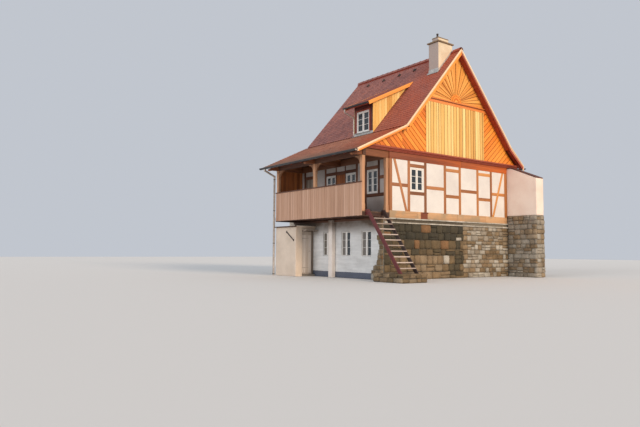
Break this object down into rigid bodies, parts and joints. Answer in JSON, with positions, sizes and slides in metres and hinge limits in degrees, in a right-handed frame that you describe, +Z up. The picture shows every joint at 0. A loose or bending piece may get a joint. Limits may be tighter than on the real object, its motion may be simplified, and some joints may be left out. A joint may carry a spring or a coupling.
{
  "type": "half timbered house",
  "caption": "Half timbered house on a rubble storey with a boarded gallery, outside stair, porch, boarded gable and steep tiled roof with a shed dormer.",
  "frame": {"origin": "middle of the house's rectangular footprint, on the ground, at the underside of the ground floor", "axes": "+X along the ridge towards the boarded gable, +Y from the gallery side to the rear, +Z up"},
  "size_m": [8.65, 10.73, 10.758],
  "materials": {
    "rubble": "rough rubble masonry in lime mortar",
    "whitewash": "limewashed rubble, blue-grey painted plinth",
    "party_render": "plain lime render",
    "cream_render": "smooth cream lime render",
    "pink_render": "pinkish lime render",
    "floor_stone": "stone flags",
    "dark_wood": "dark stained softwood",
    "door_wood": "grey-brown weathered planks",
    "boards_orange": "orange-brown oiled boards",
    "iron": "blackened iron",
    "floor_wood": "plain boards",
    "frame_timber": "brown oiled timber",
    "lime_infill": "limewashed infill",
    "cornice_paint": "red-brown painted boards",
    "gable_wood": "golden glazed boards",
    "roof_tile": "brown-red plain clay tiles",
    "barge_wood": "light painted boards",
    "chimney_render": "cream render",
    "chimney_stone": "weathered slab",
    "zinc_dark": "dark coated sheet",
    "zinc_light": "light coated sheet",
    "parapet_wood": "weathered upright boards",
    "window_white": "white painted timber",
    "window_glass": "plain panes",
    "stair_red": "dark red painted steel",
    "tread_wood": "pale weathered planks"
  },
  "bodies": {
    "house": {"ground_floor": "floor_stone", "front_wall_lower": "whitewash", "front_pier": "whitewash", "gable_wall_lower": "rubble", "rear_wall_lower": "rubble", "party_wall": "party_render", "stone_ledges": "rubble", "porch_walls": "cream_render", "porch_lintel": "cream_render", "porch_cover": "dark_wood", "entrance_door_frame": "door_wood", "wall_anchor": "iron", "upper_floor": "floor_wood", "gable_frame": "frame_timber", "gable_infill": "lime_infill", "front_frame": "frame_timber", "front_infill": "lime_infill", "rear_frame": "frame_timber", "rear_infill": "lime_infill", "attic_floor": "floor_wood", "gable_cornices": "cornice_paint", "gable_boards": "gable_wood", "gable_sunburst": "gable_wood", "roof_front": "roof_tile", "roof_gallery": "roof_tile", "roof_rear": "roof_tile", "eave_end_boards": "dark_wood", "ridge_cap": "roof_tile", "bargeboards": "barge_wood", "dormer_front": "cornice_paint", "dormer_cheeks": "gable_wood", "dormer_roof": "roof_tile", "chimney_stack": "chimney_render", "chimney_cap": "chimney_stone", "chimney_cowl": "iron", "gutters": "zinc_dark", "downpipes": "zinc_light", "gallery_joists": "dark_wood", "gallery_floor": "floor_wood", "gallery_posts": "frame_timber", "gallery_plate": "dark_wood", "gallery_ties": "dark_wood", "gallery_braces": "frame_timber", "gallery_parapet": "parapet_wood", "gallery_rails": "dark_wood", "gallery_end_boards": "boards_orange", "gallery_doors": "boards_orange", "lower_windows": "window_white", "upper_windows": "window_white", "lower_glass": "window_glass", "upper_glass": "window_glass", "stair_stringers": "stair_red", "stair_treads": "tread_wood", "stair_base": "rubble", "wing_wall": "pink_render", "wing_wall_base": "rubble", "wing_coping": "dark_wood"},
    "entrance_door_leaf": {"entrance_door": "door_wood"}
  },
  "joints": [
    {"name": "entrance_door_hinge", "type": "hinge", "parent": "house", "child": "entrance_door_leaf", "pos_m": [-1.476, -4.59, 1], "axis": [0, 0, 1], "range_deg": [0, 90]}
  ]
}
